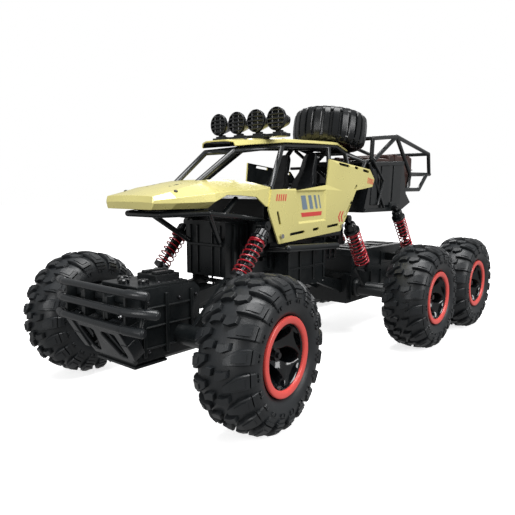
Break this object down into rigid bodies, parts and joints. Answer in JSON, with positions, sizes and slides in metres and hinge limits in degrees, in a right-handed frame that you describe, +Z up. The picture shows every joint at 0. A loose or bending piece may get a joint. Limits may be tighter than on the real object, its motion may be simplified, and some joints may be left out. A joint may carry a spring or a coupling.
{
  "type": "radio-controlled rock crawler buggy",
  "caption": "Radio-controlled rock crawler truck with a short-nosed open cage body, steered front axle, rear double axle bogie, coil-over dampers, roof lamps, spare wheel and cargo rack.",
  "frame": {"origin": "on the ground under the centre of the bounding box", "axes": "+X forward along the vehicle, +Y to its left, +Z up"},
  "size_m": [0.512, 0.264, 0.2554],
  "materials": {
    "tyre_rubber": "matte",
    "rim_black": "gloss",
    "bead_red": "satin",
    "shaft_steel": "satin",
    "gear_nylon": "matte",
    "motor_can": "satin",
    "frame_black": "satin",
    "gloss_black": "gloss",
    "panel_gold": "satin",
    "spring_red": "gloss",
    "damper_black": "gloss",
    "lens_clear": "gloss",
    "case_brown": "satin",
    "spare_rim_brown": "satin",
    "battery_wrap": "satin",
    "screw_steel": "gloss",
    "lead_black": "satin"
  },
  "bodies": {
    "chassis": {"chassis_tub": "frame_black", "battery_cover": "gloss_black", "battery_pack": "battery_wrap", "roll_cage": "frame_black", "hood": "panel_gold", "side_panel_left": "panel_gold", "side_panel_right": "panel_gold", "roof_panel": "panel_gold", "cockpit": "frame_black", "light_bar": "gloss_black", "lamp_lenses": "lens_clear", "spare_tyre": "tyre_rubber", "spare_rim": "spare_rim_brown", "cargo_bed": "frame_black", "bed_rack": "frame_black", "cargo_case": "case_brown", "body_screws": "screw_steel", "motor_lead": "lead_black"},
    "switch": {"power_switch": "frame_black"},
    "front_axle": {"front_axle_housing": "gloss_black", "front_bumper": "gloss_black", "front_links": "frame_black", "steering_servo": "gloss_black", "front_motor": "motor_can"},
    "knuckle_left": {"knuckle_left": "frame_black"},
    "knuckle_right": {"knuckle_right": "frame_black"},
    "tie_rod": {"tie_rod": "frame_black"},
    "servo_horn": {"servo_horn": "frame_black"},
    "front_drive": {"front_drive_shaft": "shaft_steel"},
    "wheel_front_left": {"tyre_front_left": "tyre_rubber", "rim_front_left": "rim_black", "bead_ring_front_left": "bead_red", "stub_axle_left": "shaft_steel"},
    "wheel_front_right": {"tyre_front_right": "tyre_rubber", "rim_front_right": "rim_black", "bead_ring_front_right": "bead_red", "stub_axle_right": "shaft_steel"},
    "front_pinion": {"front_pinion": "gear_nylon"},
    "bogie": {"bogie_housing": "gloss_black", "bogie_links": "frame_black", "bogie_motors": "motor_can"},
    "middle_wheels": {"middle_axle": "shaft_steel", "tyres_middle": "tyre_rubber", "rims_middle": "rim_black", "bead_rings_middle": "bead_red"},
    "rear_wheels": {"rear_axle": "shaft_steel", "tyres_rear": "tyre_rubber", "rims_rear": "rim_black", "bead_rings_rear": "bead_red"},
    "middle_pinion": {"middle_pinion": "gear_nylon"},
    "rear_pinion": {"rear_pinion": "gear_nylon"},
    "front_dampers": {"front_damper_bodies": "damper_black", "front_springs": "spring_red"},
    "front_damper_rods": {"front_damper_rods": "shaft_steel"},
    "middle_dampers": {"middle_damper_bodies": "damper_black", "middle_springs": "spring_red"},
    "middle_damper_rods": {"middle_damper_rods": "shaft_steel"},
    "rear_dampers": {"rear_damper_bodies": "damper_black", "rear_springs": "spring_red"},
    "rear_damper_rods": {"rear_damper_rods": "shaft_steel"}
  },
  "joints": [
    {"name": "switch_slide", "type": "slide", "parent": "chassis", "child": "switch", "axis": [1, 0, 0], "range_m": [0, 0.004]},
    {"name": "front_bounce", "type": "hinge", "parent": "chassis", "child": "front_axle", "pos_m": [0.128, 0, 0.086], "axis": [0, 1, 0], "range_deg": [-7, 7], "stiffness_Nm_per_rad": 25, "springref_deg": 0.69},
    {"name": "steer_left", "type": "hinge", "parent": "front_axle", "child": "knuckle_left", "pos_m": [0.19, 0.072, 0.055], "axis": [0, 0, 1], "range_deg": [-28.3, 15.7]},
    {"name": "steer_right", "type": "hinge", "parent": "front_axle", "child": "knuckle_right", "pos_m": [0.19, -0.072, 0.055], "axis": [0, 0, 1], "range_deg": [-28.5, 15.9]},
    {"name": "tie_rod_slide", "type": "slide", "parent": "front_axle", "child": "tie_rod", "axis": [0, 1, 0], "range_m": [-0.0068, 0.012]},
    {"name": "servo_horn_turn", "type": "hinge", "parent": "front_axle", "child": "servo_horn", "pos_m": [0.142, 0, 0.07], "axis": [0, 0, 1], "range_deg": [-15.9, 28.5]},
    {"name": "front_shaft_spin", "type": "hinge", "parent": "front_axle", "child": "front_drive", "pos_m": [0.19, 0, 0.055], "axis": [0, 1, 0], "continuous": true},
    {"name": "wheel_front_left_spin", "type": "hinge", "parent": "knuckle_left", "child": "wheel_front_left", "pos_m": [0.19, 0.072, 0.055], "axis": [-0.1097, 0.994, 0], "continuous": true},
    {"name": "wheel_front_right_spin", "type": "hinge", "parent": "knuckle_right", "child": "wheel_front_right", "pos_m": [0.19, -0.072, 0.055], "axis": [-0.1097, 0.994, 0], "continuous": true},
    {"name": "front_pinion_spin", "type": "hinge", "parent": "front_axle", "child": "front_pinion", "pos_m": [0.19, 0, 0.074], "axis": [0, 1, 0], "continuous": true},
    {"name": "bogie_bounce", "type": "hinge", "parent": "chassis", "child": "bogie", "pos_m": [0.004, 0, 0.076], "axis": [0, 1, 0], "range_deg": [-4, 4], "stiffness_Nm_per_rad": 60, "springref_deg": -0.69},
    {"name": "middle_wheels_spin", "type": "hinge", "parent": "bogie", "child": "middle_wheels", "pos_m": [-0.076, 0, 0.055], "axis": [0, 1, 0], "continuous": true},
    {"name": "middle_pinion_spin", "type": "hinge", "parent": "bogie", "child": "middle_pinion", "pos_m": [-0.08944, 0, 0.06843], "axis": [0, 1, 0], "continuous": true},
    {"name": "rear_wheels_spin", "type": "hinge", "parent": "bogie", "child": "rear_wheels", "pos_m": [-0.196, 0, 0.055], "axis": [0, 1, 0], "continuous": true},
    {"name": "rear_pinion_spin", "type": "hinge", "parent": "bogie", "child": "rear_pinion", "pos_m": [-0.18257, 0, 0.06843], "axis": [0, 1, 0], "continuous": true},
    {"name": "front_damper_swing", "type": "hinge", "parent": "chassis", "child": "front_dampers", "pos_m": [0.116, 0, 0.136], "axis": [0, 1, 0], "range_deg": [-2, 2]},
    {"name": "front_damper_slide", "type": "slide", "parent": "front_dampers", "child": "front_damper_rods", "axis": [0.6536, 0, -0.7568], "range_m": [-0.0032, 0.0032], "deforming": ["front_springs"]},
    {"name": "middle_damper_swing", "type": "hinge", "parent": "chassis", "child": "middle_dampers", "pos_m": [-0.016, 0, 0.137], "axis": [0, 1, 0], "range_deg": [-2, 2]},
    {"name": "middle_damper_slide", "type": "slide", "parent": "middle_dampers", "child": "middle_damper_rods", "axis": [-0.5582, 0, -0.8297], "range_m": [-0.004, 0.004], "deforming": ["middle_springs"]},
    {"name": "rear_damper_swing", "type": "hinge", "parent": "chassis", "child": "rear_dampers", "pos_m": [-0.124, 0, 0.147], "axis": [0, 1, 0], "range_deg": [-6, 6]},
    {"name": "rear_damper_slide", "type": "slide", "parent": "rear_dampers", "child": "rear_damper_rods", "axis": [-0.5952, 0, -0.8036], "range_m": [-0.0112, 0.0112], "deforming": ["rear_springs"]}
  ],
  "couplings": [
    {"joint": "steer_right", "follows": "steer_left", "ratio": 1},
    {"joint": "tie_rod_slide", "follows": "steer_left", "m_per_rad": -0.0235},
    {"joint": "servo_horn_turn", "follows": "steer_left", "ratio": -1},
    {"joint": "wheel_front_left_spin", "follows": "front_shaft_spin", "ratio": 1},
    {"joint": "wheel_front_right_spin", "follows": "front_shaft_spin", "ratio": 1},
    {"joint": "front_pinion_spin", "follows": "front_shaft_spin", "ratio": -2.1667},
    {"joint": "middle_pinion_spin", "follows": "middle_wheels_spin", "ratio": -2.1667},
    {"joint": "rear_pinion_spin", "follows": "rear_wheels_spin", "ratio": -2.1667},
    {"joint": "front_damper_swing", "follows": "front_bounce", "ratio": 0.2136},
    {"joint": "front_damper_slide", "follows": "front_bounce", "m_per_rad": 0.02358},
    {"joint": "middle_damper_swing", "follows": "bogie_bounce", "ratio": 0.4046},
    {"joint": "middle_damper_slide", "follows": "bogie_bounce", "m_per_rad": -0.05063},
    {"joint": "rear_damper_swing", "follows": "bogie_bounce", "ratio": 1.3026},
    {"joint": "rear_damper_slide", "follows": "bogie_bounce", "m_per_rad": -0.14486}
  ]
}
